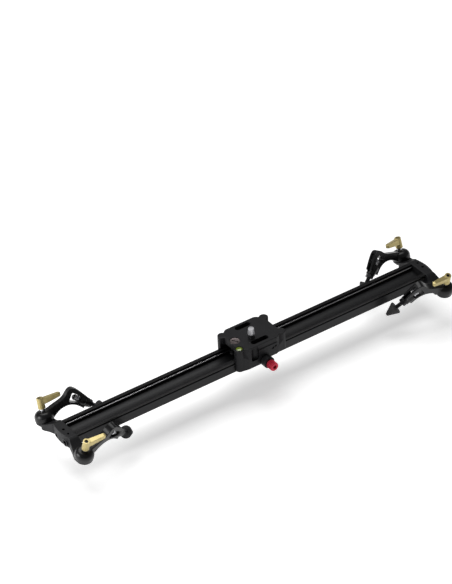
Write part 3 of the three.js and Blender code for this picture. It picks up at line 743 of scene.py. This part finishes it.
def bracket_mesh():
    sides = (1, -1)
    y, z = END_SCREWS[1][:2]
    ring = cylinder(END_RING_RADIUS, BRACKET_INNER + 4, BRACKET_APEX - 1.3 + END_RING_PROUD)
    body = joined(
        bracket_block(),
        shifted(along_x(ring), 0, y, z),
        *[bracket_arm(side) for side in sides],
        *[at_hub(hub_boss(), side) for side in sides],
    )
    body = cast_skin(body, 0.6, 5, 0.3)
    tools = []
    for side in sides:
        tools.append(at_hub(cylinder(STUD_RADIUS + GAP, -40, 20), side))
        tools.append(at_hub(cylinder(HUB_RADIUS + 0.6, HUB_SEAM - GAP, 60, 72), side))
    for place, radius in SOCKETS:
        rim = RAIL_HEIGHT
        profile = [
            (0, rim - SOCKET_DEPTH), (radius, rim - SOCKET_DEPTH), (radius, rim - 0.2),
            (radius + 0.3, rim + 0.1), (radius + 0.3, rim + 1), (0, rim + 1),
        ]
        tools.append(shifted(lathe(profile, 36), SOCKET_X, place, 0))
    for y, z, head, _ in END_SCREWS:
        tools.append(shifted(along_x(cylinder(head + GAP, END_HEAD_SEAT, BRACKET_APEX + 5)), 0, y, z))
    tools += screw_bores(GAP, BRACKET_INNER - 1, BRACKET_APEX)
    return mesh_of(cut(body, *tools))


def build_brackets():
    bracket = bracket_mesh()
    seat = END_HEAD_SEAT + GAP
    tip = RAIL_LENGTH / 2 - 12
    screws = [
        mesh_of(socket_screw(shank, head, tip, seat, seat + 4.2)) for _, _, head, shank in END_SCREWS
    ]
    for name, turn in (("right", 0), ("left", math.pi)):
        end = Matrix.Rotation(turn, 4, "Z")
        add_piece(f"{name}_end_bracket", bracket, "base", CASTING, end)
        for index, (y, z, _, _) in enumerate(END_SCREWS):
            place = end @ Matrix.Translation((0, y * MM, z * MM)) @ Matrix.Rotation(math.pi / 2, 4, "Y")
            add_piece(f"{name}_bracket_screw_{index + 1}", screws[index], "base", OXIDE, place)


# ---------------------------------------------------------------- legs
# Each leg piece is drawn in the leg's own frame: +X along the folded arm, +Z up the hinge axis.

SPINDLE_TURN = Matrix.Translation((SPINDLE_ALONG, 0, SPINDLE_UP)) @ Matrix.Rotation(
    math.pi - SPINDLE_ANGLE, 4, "Y"
)
WINDOW = ((-6.7, -5.2), (10.8, -3.2), (5.9, 14.8), (-6.2, 16.5))
RIB_SLOT_HALF, RIB_SLOT_START, RIB_SLOT_END = 3, -3, 31


def on_spindle(piece):
    return turned_to(piece, SPINDLE_TURN)


def across(outline, half_width):
    """Draws (x, z) points out along Y, half of it on each side."""
    return turned_to(prism(outline, -half_width, half_width), Matrix.Rotation(math.pi / 2, 4, "X"))


def smooth_curve(points, steps=5):
    """Points along a Catmull-Rom curve through the given ones."""
    knots = [Vector(point) for point in points]
    knots = [2 * knots[0] - knots[1], *knots, 2 * knots[-1] - knots[-2]]
    result = []
    for a, b, c, d in zip(knots, knots[1:], knots[2:], knots[3:]):
        for step in range(steps):
            t = step / steps
            point = 2 * b + (c - a) * t + (2 * a - 5 * b + 4 * c - d) * t * t
            result.append(tuple((point + (3 * b - a - 3 * c + d) * t ** 3) / 2))
    return [*result, tuple(knots[-2])]


def leg_outline():
    lower = smooth_curve([(21, 0.5), (29, 5.6), (39, 8.2), (49, 7.9), (58, 4.4), (65, -1), (71, -7)])
    upper = smooth_curve([
        (84, 8.6), (78.5, 16.5), (70.5, 27), (63, 34.4), (56, 35.8), (49.5, 32), (43, 25.6),
        (35, 21.2), (22, 17.2), (6, 12),
    ])
    return [(6, HUB_SEAM), (15, HUB_SEAM), *lower, *upper]


def leg_arm_mesh():
    flat = 7.5
    crown = [
        (flat + (HUB_RADIUS - flat) * math.cos(angle), 2 + (HUB_TOP - 2) * math.sin(angle))
        for angle in (math.radians(6 * step) for step in range(15))
    ]
    dome = lathe([(0, HUB_SEAM), (HUB_RADIUS, HUB_SEAM), *crown, (flat, HUB_TOP), (0, HUB_TOP)], 96)
    socket = lathe(
        [(0, 14.5), (8.1, 14.5), (9.6, 18.5), (9.6, 25), (8.4, 26), (8.4, 34), (0, 34)], 64
    )
    body = joined(across(leg_outline(), ARM_HALF), dome, on_spindle(socket))
    body = cast_skin(body, 0.55, 5, 0.3)
    window = across(rounded(WINDOW, 3, 6), 2 * ARM_HALF)
    ribs = block((-26, -RIB_SLOT_HALF, RIB_SLOT_START), (0, RIB_SLOT_HALF, RIB_SLOT_END))
    rod_bore = cylinder(SPINDLE_RADIUS + GAP, 0, 39)
    hub_bore = cylinder(STUD_RADIUS + GAP, HUB_SEAM - 5, HUB_TOP + 5)
    openings = [on_spindle(tool) for tool in (window, bevelled(ribs, 0.8), rod_bore)]
    return mesh_of(cut(body, *openings, hub_bore))


def stud_mesh():
    return mesh_of(lathe([
        (0, -12.5), (3.4, -12.5), (4, -11.9), (4, 12.9), (4.3, 12.9), (4.7, 13.3), (4.7, 14.6),
        (4.45, 14.8), (4.45, 15.2), (4.7, 15.4), (4.7, 17.2), (4.3, 17.6), (3, 17.6), (3, 22.6),
        (2.6, 23), (0, 23),
    ], 64))


def lever_mesh():
    """A tapered hub with a flat handle that rises from it to a rounded tip."""
    bottom, top, reach = 17.9, 38, 37
    hub = lathe([(0, bottom), (6.8, bottom), (6, top), (0, top)], 64)
    tip = 3.5
    plan = [(0, -5.1), *arc((reach - tip, 0), tip, -90, 90, 12), (0, 5.1)]
    side = [
        (0, top - 13), (12, top - 11.5), (reach, top - 6), (reach + 1, top - 0.5), (reach - 4, top + 1),
        (0, top - 2),
    ]
    handle = overlap(prism(plan, bottom, top + 9), across(rounded(side, 2), 14))
    body = cast_skin(joined(hub, handle), 0.4, 4, 0.35)
    trim = block((-20, -20, bottom - 4), (60, 20, bottom + 0.02))
    bore = cylinder(3.3, bottom - 1, 23.3)
    recess = lathe([
        (0, top - 3.5), (3.2, top - 3.5), (3.2, top - 0.6), (3.8, top + 0.1), (3.8, top + 3), (0, top + 3),
    ], 48)
    return mesh_of(cut(body, trim, bore, recess))


def nut_bore(start, end):
    """The threaded hole through a nut, flared at both ends."""
    radius = SPINDLE_RADIUS + GAP
    return [(radius + 0.5, start), (radius, start + 0.5), (radius, end - 0.5), (radius + 0.5, end)]


def thumb_nut_mesh():
    start, end, radius, ridges, ridge_depth = 4, 13, 5.4, 16, 0.7
    profile = [
        *nut_bore(start, end), (radius - 0.3, end), (radius, end - 0.5), (radius, end - 2.9),
        (radius - 0.5, end - 3.2), (radius - 0.5, start + 3.2), (radius, start + 2.9),
        (radius, start + 0.5), (radius - 0.3, start),
    ]

    def shape(reach, z, turn):
        if reach < radius - 0.6:
            return reach
        return reach - ridge_depth / 2 * (1 - math.cos(math.tau * ridges * turn))

    return mesh_of(lathe(profile, 128, shape))


def lock_nut_mesh():
    start, end, corner = 34.3, 40.3, 7.5
    flat = corner * math.cos(math.pi / 6)

    def shape(reach, z, turn):
        if reach < SPINDLE_RADIUS + 1:
            return reach
        angle = (math.tau * turn) % (math.pi / 3) - math.pi / 6
        return min(reach, flat / math.cos(angle))

    profile = [
        *nut_bore(start, end), (flat, end), (corner, end - 0.55), (corner, start + 0.55), (flat, start),
    ]
    return mesh_of(lathe(profile, 96, shape))


def foot_rod_mesh():
    start, end = 2, 62
    profile = [(0, start), *[(SPINDLE_RADIUS, z) for z in heights(start, end, THREAD_PITCH)], (0, end)]
    return mesh_of(lathe(profile, 32, thread(THREAD_PITCH, 0.62, start, end)))


def rubber_foot_mesh():
    start, tip, nose = 53, 76, 3.6
    bore, widest = 4.3, 11.6
    cone = rounded(
        [(bore, start), (widest, start), (widest, start + 2.4), (6, start + 16)], 0.8, 4, closed=False,
    )
    nose_arc = [
        (nose * math.cos(math.radians(angle)), tip - nose + nose * math.sin(math.radians(angle)))
        for angle in range(26, 90, 8)
    ]
    profile = [(0, 63), (bore, 63), *cone[:-1], *nose_arc, (0, tip)]
    return mesh_of(lathe(profile, 72))


def lever_screw_mesh():
    """The socket screw seen in the top of each lever."""
    return mesh_of(socket_screw(1.2, 2.9, 34.55, 34.6, 36.2))


def leg_frames(name, end, side):
    """The leg's own frame, its spindle's and its lever's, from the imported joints."""
    joints = {joint["name"]: joint for joint in frame["joints"]}
    pivot = Vector(joints[f"{name}_lever_turn"]["pos_m"])
    hinge = Vector(joints[f"{name}_lever_turn"]["axis"]).normalized()
    reach = Vector(joints[f"{name}_thumb_nut_turn"]["pos_m"]) - pivot
    along = (reach - hinge * reach.dot(hinge)).normalized()
    leg = Matrix.Translation(pivot) @ Matrix((along, hinge.cross(along), hinge)).transposed().to_4x4()
    knee = Matrix.Translation((SPINDLE_ALONG * MM, 0, SPINDLE_UP * MM))
    spindle = leg @ knee @ Matrix.Rotation(math.pi - SPINDLE_ANGLE, 4, "Y")
    inboard = Vector((-end, 0, 0))
    outward = inboard.cross(hinge) * (end * side)
    turn = LEVER_TURN[name.split("_")[0]]
    arm = inboard * math.cos(turn) + outward * math.sin(turn)
    lever = Matrix.Translation(pivot) @ Matrix((arm, hinge.cross(arm), hinge)).transposed().to_4x4()
    return leg, spindle, lever


def build_legs():
    arm, stud, lever, nut = leg_arm_mesh(), stud_mesh(), lever_mesh(), thumb_nut_mesh()
    lock, rod, foot, screw = lock_nut_mesh(), foot_rod_mesh(), rubber_foot_mesh(), lever_screw_mesh()
    for name, end, side in LEGS:
        leg_place, spindle_place, lever_place = leg_frames(name, end, side)
        add_piece(f"{name}_leg_arm", arm, f"{name}_leg", SATIN, leg_place)
        add_piece(f"{name}_clamp_stud", stud, f"{name}_lever", STEEL, lever_place)
        add_piece(f"{name}_clamp_lever", lever, f"{name}_lever", GOLD, lever_place)
        add_piece(f"{name}_lever_screw", screw, f"{name}_lever", OXIDE, lever_place, ())
        add_piece(f"{name}_thumb_nut", nut, f"{name}_thumb_nut", STEEL, spindle_place)
        add_piece(f"{name}_lock_nut", lock, f"{name}_lock_nut", OXIDE, spindle_place)
        add_piece(f"{name}_foot_rod", rod, f"{name}_foot", OXIDE, spindle_place)
        add_piece(f"{name}_rubber_foot", foot, f"{name}_foot", RUBBER, spindle_place)


# ---------------------------------------------------------------- carriage
# Drawn about its own middle, with heights measured from the rail's underside.

CARRIAGE_PLACE = Matrix.Translation((CARRIAGE_X * MM, 0, 0))


def on_carriage(x, y, z=0):
    return CARRIAGE_PLACE @ Matrix.Translation((x * MM, y * MM, z * MM))


def carriage_blank():
    """The carriage before its openings: a plate, four corner columns, bulged sides and a fading skirt."""
    low, high, skirt_top = CARRIAGE_BOTTOM, CARRIAGE_TOP, 46
    bulge = [
        (SIDE_X, SIDE_Y), (-SIDE_X, SIDE_Y), (-SIDE_X - 7, 32.5), (-SIDE_X - 7, -32.5),
        (-SIDE_X, -SIDE_Y), (SIDE_X, -SIDE_Y), (SIDE_X + 7, -32.5), (SIDE_X + 7, 32.5),
    ]
    columns = [
        shifted(cylinder(EAR_RADIUS, low, high, 72), end * EAR_X, flank * EAR_Y)
        for end, flank in ((1, 1), (-1, 1), (-1, -1), (1, -1))
    ]
    ear_side = EAR_Y + EAR_RADIUS
    skirt = [
        (SIDE_X, SIDE_Y), (-SIDE_X, SIDE_Y), (-EAR_X, ear_side), (-EAR_X, -ear_side),
        (-SIDE_X, -SIDE_Y), (SIDE_X, -SIDE_Y), (EAR_X, -ear_side), (EAR_X, ear_side),
    ]
    plate = block((-EAR_X, -EAR_Y - 4, low), (EAR_X, EAR_Y + 4, high))
    fade = [(-38, low), (38, low), (38, 22), (30, skirt_top), (-30, skirt_top), (-38, 22)]
    skirt = overlap(prism(rounded(skirt, 2), low, skirt_top), section_along_x(fade, -60, 60))
    body = joined(plate, prism(rounded(bulge, 3), low, high), skirt, *columns)
    return cast_skin(body, 0.6, 6, 0.22)


def tunnel_tools():
    """Room for the rail and the rollers, and the cut under the front to the right of the knob."""
    reach = EAR_X + EAR_RADIUS + 5
    half = RAIL_HALF + 1
    return [
        block((-reach, -half, -5), (reach, half, RAIL_HEIGHT + 1)),
        block((-reach, -TUNNEL_HALF, 0), (reach, TUNNEL_HALF, TUNNEL_TOP)),
        bevelled(block((LOCK_X + COLLAR_RADIUS - 2, -60, -5), (reach, -half, BLOCK_BOTTOM)), 0.6),
    ]


def plate_tools():
    """The slots, the camera screw's hole, the round pockets in the top and the rollers' bores under it."""
    tools = []
    high = CARRIAGE_TOP
    for x, y, half_length in PLATE_SLOTS:
        groove = prism(slot_outline(x, y, half_length, PLATE_SLOT_WIDTH), TUNNEL_TOP + 3, high + 1)
        lip = prism(slot_outline(x, y, half_length, PLATE_SLOT_WIDTH + 0.8), high - 0.4, high + 2)
        tools += [groove, bevelled(lip, 0.35, 2)]
    countersink = lathe([(0, high - 1.5), (5, high - 1.5), (7, high + 1), (0, high + 1)], 64)
    screw_hole = cylinder(SCREW_NECK_RADIUS + GAP, TUNNEL_TOP - 1, high)
    tools += [shifted(tool, *CAMERA_SCREW_PLACE) for tool in (countersink, screw_hole)]
    for place, radius, depth in ((DISC_PLACE, 9.7, 3), (LEVEL_PLACE, 7.3, 6)):
        pocket = lathe([
            (0, high - depth), (radius, high - depth), (radius, high - 0.35), (radius + 0.5, high + 0.15),
            (radius + 0.5, high + 1), (0, high + 1),
        ], 64)
        tools.append(shifted(pocket, *place))
    return tools + [shifted(cylinder(2.3, TUNNEL_TOP - 1, TUNNEL_TOP + 6), x, y) for x, y in ROLLER_PLACES]


def lock_tools():
    """The scallop beside the lock, its block's seat, and the bores behind the block."""
    scallop = lathe([(0, 17), (5.5, 17), (7.5, 19), (7.5, 42.7), (6.7, 43.5), (0, 43.5)], 64)
    screw_bore = cylinder(LOCK_BORE_RADIUS, 20, 50)
    pad_bore = cylinder(LOCK_BORE_RADIUS + 1, 20, 29.5)
    return [
        shifted(scallop, *SCALLOP_PLACE),
        *lock_plate(GAP, BLOCK_BACK - GAP, SIDE_Y + 5),
        *[shifted(along_minus_y(bore), LOCK_X, 0, LOCK_Z) for bore in (screw_bore, pad_bore)],
        *[shifted(along_minus_y(cylinder(1.5, 29.6, 50, 24)), x, 0, z) for x, z in BLOCK_SCREWS],
    ]


def carriage_mesh():
    return mesh_of(cut(carriage_blank(), *tunnel_tools(), *plate_tools(), *lock_tools()))


def lock_plate(margin, start, end, corner=0.01):
    """The lock block's plate and the round lobe round its screw, between two distances to the front."""
    low, high = BLOCK_BOTTOM - margin, BLOCK_TOP + margin
    left, right = BLOCK_LEFT - margin, BLOCK_RIGHT + margin
    outline = rounded([(left, low), (right, low), (right, high), (left, high)], corner)
    lobe = cylinder(BLOCK_LOBE + margin, start, end, 72)
    return [along_minus_y(prism(outline, start, end)), shifted(along_minus_y(lobe), LOCK_X, 0, LOCK_Z)]


def lock_block_mesh():
    plate = bevelled(joined(*lock_plate(0, BLOCK_BACK, BLOCK_FACE, 1.6)), 0.5, 3)
    tools = [shifted(along_minus_y(cylinder(LOCK_BORE_RADIUS, 20, 60)), LOCK_X, 0, LOCK_Z)]
    seat, face = BLOCK_SCREW_SEAT, BLOCK_FACE
    for x, z in BLOCK_SCREWS:
        room = lathe([(0, seat), (2.6, seat), (2.6, face - 0.2), (2.9, face + 0.2), (0, face + 0.2)], 36)
        tools.append(shifted(along_minus_y(room), x, 0, z))
        tools.append(shifted(along_minus_y(cylinder(1.5, 20, 60, 24)), x, 0, z))
    return mesh_of(cut(plate, *tools))


def build_lock():
    axis = Matrix.Rotation(math.pi / 2, 4, "X")
    centre = on_carriage(LOCK_X, 0, LOCK_Z) @ axis
    add_piece("lock_block", lock_block_mesh(), "carriage", CASTING, CARRIAGE_PLACE)
    seat = BLOCK_SCREW_SEAT + GAP
    small = mesh_of(socket_screw(1.2, 2, 30, seat, seat + 1))
    for index, (x, z) in enumerate(BLOCK_SCREWS):
        place = on_carriage(x, 0, z) @ axis
        add_piece(f"lock_block_screw_{index + 1}", small, "carriage", OXIDE, place)
    bore, rim = LOCK_BORE_RADIUS, COLLAR_RADIUS
    collar = lathe([
        (bore, 38.5), (rim - 0.6, 38.5), (rim, 39.1), (rim, 42.2), (rim - 0.6, 42.7), (rim - 0.6, 43.5),
        (rim, 44), (rim, 50.4), (rim - 1.2, 51.6), (bore, 51.6),
    ], 96)
    add_piece("lock_collar", mesh_of(collar), "carriage", CASTING, centre)
    rim = KNOB_RADIUS
    outside = [
        (0, 52.3), (rim - 1.2, 52.3), (rim - 0.5, 53), (rim, 53.6), (rim, 65.4), (rim - 0.6, 66.3),
        (rim - 1.4, 66.8), (0, 66.8),
    ]
    knob = lathe(outside, 144, fluted(18, 1.4, 53.2, 66))
    flare = lathe([(0, 66.4), (3.6, 66.4), (4.5, 67.2), (0, 67.2)], 48)
    knob = cut(knob, cylinder(bore, 40, 62.3), prism(hexagon(3.9), 63.4, 70), flare)
    add_piece("lock_knob", mesh_of(knob), "lock_knob", RED, centre)
    low, high, radius = 27.2, 62, LOCK_SCREW_RADIUS
    threads = [(radius, z) for z in heights(low, high, 1)]
    screw = lathe([(0, low), *threads, (0, high)], 32, thread(1, 0.5, low, high))
    add_piece("lock_screw", mesh_of(screw), "lock_knob", STEEL, centre)
    face, back = RAIL_HALF + 0.35, 26.9
    pad = lathe([(0, face), (3.7, face), (4, face + 0.3), (4, back - 0.3), (3.7, back), (0, back)], 48)
    add_piece("lock_pad", mesh_of(pad), "lock_pad", NYLON, centre)


def build_rollers():
    z, half = ROD_HEIGHT, 3.5
    tread = rounded(
        [(6.4, z - half), (6.4, z - 2), (4.8, z - 0.6), (4.8, z + 0.6), (6.4, z + 2), (6.4, z + half)],
        0.4, 3, closed=False,
    )
    roller = mesh_of(lathe([
        (2.3, z - half), (6.1, z - half), (6.4, z - half + 0.3), *tread[1:-1], (6.4, z + half - 0.3),
        (6.1, z + half), (2.3, z + half),
    ], 72))
    head = z - half - 2.4
    bolt = lathe([
        (0, head), (3.2, head), (3.6, head + 0.4), (3.6, z - half - GAP), (2, z - half - GAP),
        (2, z + half + GAP), (3.4, z + half + GAP), (3.4, TUNNEL_TOP - GAP), (2, TUNNEL_TOP - GAP),
        (2, TUNNEL_TOP + 5), (0, TUNNEL_TOP + 5),
    ], 48)
    bolt = mesh_of(cut(bolt, prism(hexagon(1.8), head - 1, head + 1.2)))
    for index, (x, y) in enumerate(ROLLER_PLACES):
        name = f"roller_{index + 1}"
        add_piece(name, roller, name, OXIDE, on_carriage(x, y))
        add_piece(f"roller_axle_{index + 1}", bolt, "carriage", OXIDE, on_carriage(x, y))


def second_material_below(mesh, upper, lower, height):
    """Gives the faces below a height the second material; on the slotted disc that is painted shade in the
    slot and round the rim.
    """
    mesh.materials.append(upper)
    mesh.materials.append(lower)
    for face in mesh.polygons:
        face.material_index = int(face.center.z < height * MM)


def camera_screw_mesh():
    """The mounting screw: a flange under the plate, a threaded neck and a fluted bright head."""
    under, radius = TUNNEL_TOP, SCREW_NECK_RADIUS
    neck = [(radius, z) for z in heights(under + 6, SCREW_NECK_TOP, SCREW_PITCH, 8)]
    head = rounded(
        [
            (radius + 0.1, SCREW_NECK_TOP + 0.1), (SCREW_HEAD_RADIUS, SCREW_NECK_TOP + 0.2),
            (SCREW_HEAD_RADIUS, SCREW_NECK_TOP + 2.5), (SCREW_CROWN_RADIUS, SCREW_TOP), (0, SCREW_TOP),
        ],
        0.9, 5, closed=False,
    )
    flange = [(0, under - 6), (8.6, under - 6), (9, under - 5.6), (9, under - GAP), (radius, under - GAP)]
    grips = [
        turned_to(
            bevelled(block((4.6, -0.6, SCREW_NECK_TOP + 0.4), (9, 0.6, SCREW_TOP - 2.4)), 0.2),
            Matrix.Rotation(math.pi / 2 * quarter, 4, "Z"),
        )
        for quarter in range(4)
    ]
    turned = lathe([*flange, *neck, *head], 96, thread(SCREW_PITCH, 0.8, under + 6, SCREW_NECK_TOP))
    mesh = mesh_of(cut(turned, *grips))
    second_material_below(mesh, PLATED_STEEL, OXIDE, SCREW_NECK_TOP + 0.4)
    return mesh


def slotted_disc_mesh():
    top = CARRIAGE_TOP
    low = top - 2.7
    disc = lathe([
        (0, low), (9.3, low), (9.3, top - 1.2), (9, top - 0.8), (8, top - 0.8), (7.7, top - 1),
        (0, top - 1),
    ], 96)
    slot = bevelled(block((-7, -1.1, top - 2.2), (7, 1.1, top + 1)), 0.3, 2)
    mesh = mesh_of(cut(disc, turned_to(slot, Matrix.Rotation(DISC_SLOT_TURN, 4, "Z"))))
    # Painted shade: faces more than 1.5 mm under the plate top (the slot's floor and lower walls, and the
    # rim's lower side) take the black oxide finish so the slot and the gap round the disc read dark.
    second_material_below(mesh, AGED_STEEL, OXIDE, top - 1.5)
    return mesh


def domed(radius, rim, rise, step):
    """A shallow dome's (radius, z) points, from its rim in to near its middle, every so many degrees."""
    angles = [math.radians(angle) for angle in range(0, 90, step)]
    return [(radius * math.cos(angle), rim + rise * math.sin(angle)) for angle in angles]


def build_plate_fittings():
    screw_place = on_carriage(*CAMERA_SCREW_PLACE)
    add_piece("camera_screw", camera_screw_mesh(), "camera_screw", PLATED_STEEL, screw_place)
    add_piece("slotted_disc", slotted_disc_mesh(), "carriage", AGED_STEEL, on_carriage(*DISC_PLACE))
    top = CARRIAGE_TOP
    floor = top - 5.7
    level = on_carriage(*LEVEL_PLACE)
    ring = lathe([
        (6.3, floor), (7, floor), (7, top - 0.1), (6.8, top + 0.2), (6.5, top + 0.2), (6.3, top),
    ], 96)
    add_piece("level_ring", mesh_of(ring), "carriage", CASTING, level)
    lens = domed(VIAL_RADIUS, top - 1, 1.3, 10)
    vial = lathe([(0, floor), (VIAL_RADIUS, floor), *lens, (0, top + 0.3)], 72)
    add_piece("bubble_level", mesh_of(vial), "carriage", VIAL, level)
    skin = domed(BUBBLE_RADIUS, top + 0.1, 0.25, 15)
    cap = lathe([(0, top - 0.6), (BUBBLE_RADIUS, top - 0.6), *skin, (0, top + 0.35)], 48)
    place = level @ Matrix.Translation((0.3 * MM, -2.4 * MM, 0))
    add_piece("level_bubble", mesh_of(cap), "carriage", BUBBLE, place, ())


def build_carriage():
    add_piece("carriage_body", carriage_mesh(), "carriage", CASTING, CARRIAGE_PLACE)
    build_lock()
    build_rollers()
    build_plate_fittings()


# ---------------------------------------------------------------- assembly


def build_floor():
    """A plain floor as low as the feet reach when the legs are swung out."""
    level, reach = CAD_BOUNDS[0].z / MM - SWUNG_FEET_DROP, FLOOR_REACH
    corners = [(-reach, -reach, level), (reach, -reach, level), (reach, reach, level), (-reach, reach, level)]
    floor = solid(corners, [(0, 1, 2, 3)])
    floor.name = "studio_floor"
    floor.data.materials.append(studio_floor())


build_camera()
build_studio()
build_rail()
build_brackets()
build_legs()
build_carriage()
build_floor()
